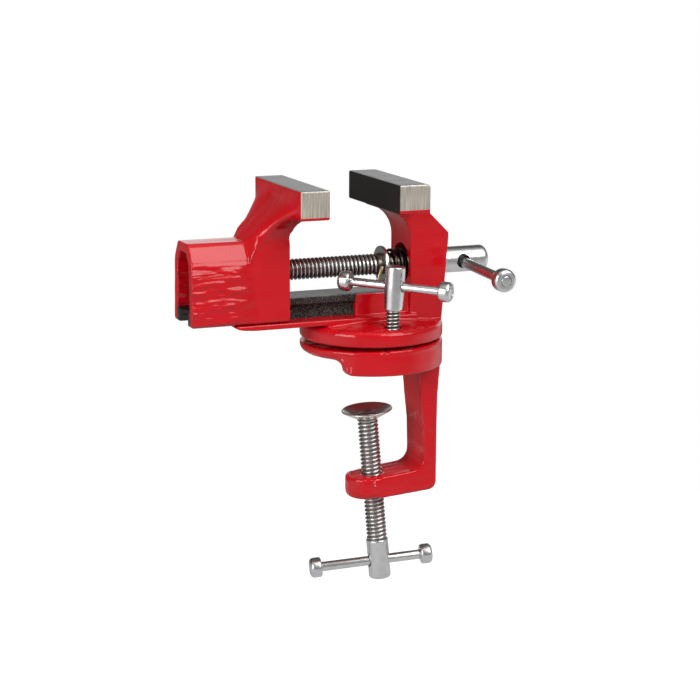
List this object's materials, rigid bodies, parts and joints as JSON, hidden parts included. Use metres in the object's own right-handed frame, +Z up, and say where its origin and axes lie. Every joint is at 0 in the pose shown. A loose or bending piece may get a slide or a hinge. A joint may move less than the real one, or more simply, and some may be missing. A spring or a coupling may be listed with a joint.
{
  "type": "swivel table vise",
  "caption": "Small cast vise on a swivel plate: a screw slides the moving jaw along a rail, and a screw clamp under the plate grips the edge of a table.",
  "frame": {"origin": "on the swivel axis, in the flat face of the clamp frame that rests on the table top", "axes": "+Z up along the swivel axis; +X along the main screw, from the moving jaw to the screw's head; -Y towards the lock screw's side"},
  "size_m": [0.0974, 0.0546, 0.1259],
  "materials": {
    "red_casting": "gloss",
    "bright_steel": "polished",
    "spring_steel": "satin",
    "pin_brass": "satin"
  },
  "bodies": {
    "clamp": {"clamp_frame": "red_casting"},
    "swivel": {"swivel_base": "red_casting", "pivot_screw": "bright_steel", "pivot_washer": "bright_steel", "jaw_spring": "spring_steel"},
    "screw": {"main_screw": "bright_steel", "screw_washer": "bright_steel", "split_pin": "pin_brass"},
    "screw_bar": {"main_bar": "bright_steel", "main_bar_knob_near": "bright_steel", "main_bar_knob_far": "bright_steel"},
    "jaw": {"moving_jaw": "red_casting"},
    "lock": {"lock_screw": "bright_steel"},
    "lock_tommy": {"lock_bar": "bright_steel", "lock_bar_knob_left": "bright_steel", "lock_bar_knob_right": "bright_steel"},
    "cup": {"clamp_pad": "bright_steel"},
    "clamp_spindle": {"clamp_screw": "bright_steel"},
    "clamp_tommy": {"clamp_bar": "bright_steel", "clamp_bar_knob_left": "bright_steel", "clamp_bar_knob_right": "bright_steel"}
  },
  "joints": [
    {"name": "swivel_turn", "type": "hinge", "parent": "clamp", "child": "swivel", "pos_m": [0, 0, 0.008], "axis": [0, 0, 1], "continuous": true},
    {"name": "screw_turn", "type": "hinge", "parent": "swivel", "child": "screw", "pos_m": [0.021, 0, 0.0301], "axis": [-1, 0, 0], "range_deg": [-5108, 4427.7]},
    {"name": "jaw_slide", "type": "slide", "parent": "swivel", "child": "jaw", "axis": [1, 0, 0], "range_m": [-0.018, 0.0156]},
    {"name": "screw_bar_slide", "type": "slide", "parent": "screw", "child": "screw_bar", "axis": [0, -0.9992, -0.0401], "range_m": [-0.0249, 0.0129]},
    {"name": "lock_turn", "type": "hinge", "parent": "swivel", "child": "lock", "pos_m": [0, -0.0165, 0.0133], "axis": [0.0488, 0, 0.9988], "range_deg": [-1, 62]},
    {"name": "lock_bar_slide", "type": "slide", "parent": "lock", "child": "lock_tommy", "axis": [0.7185, -0.6947, -0.0351], "range_m": [-0.0003, 0.0105]},
    {"name": "cup_travel", "type": "slide", "parent": "clamp", "child": "cup", "axis": [-0.0872, 0, 0.9962], "range_m": [-0.017, 0.014]},
    {"name": "clamp_turn", "type": "hinge", "parent": "cup", "child": "clamp_spindle", "pos_m": [0.0008, 0, -0.0378], "axis": [-0.0872, 0, 0.9962], "range_deg": [-4824.6, 3974.2]},
    {"name": "clamp_bar_slide", "type": "slide", "parent": "clamp_spindle", "child": "clamp_tommy", "axis": [0.9707, -0.225, 0.0849], "range_m": [-0.0094, 0.0144]}
  ],
  "couplings": [
    {"joint": "screw_turn", "follows": "jaw_slide", "rad_per_m": 4947.4},
    {"joint": "clamp_turn", "follows": "cup_travel", "rad_per_m": 4947.4}
  ]
}
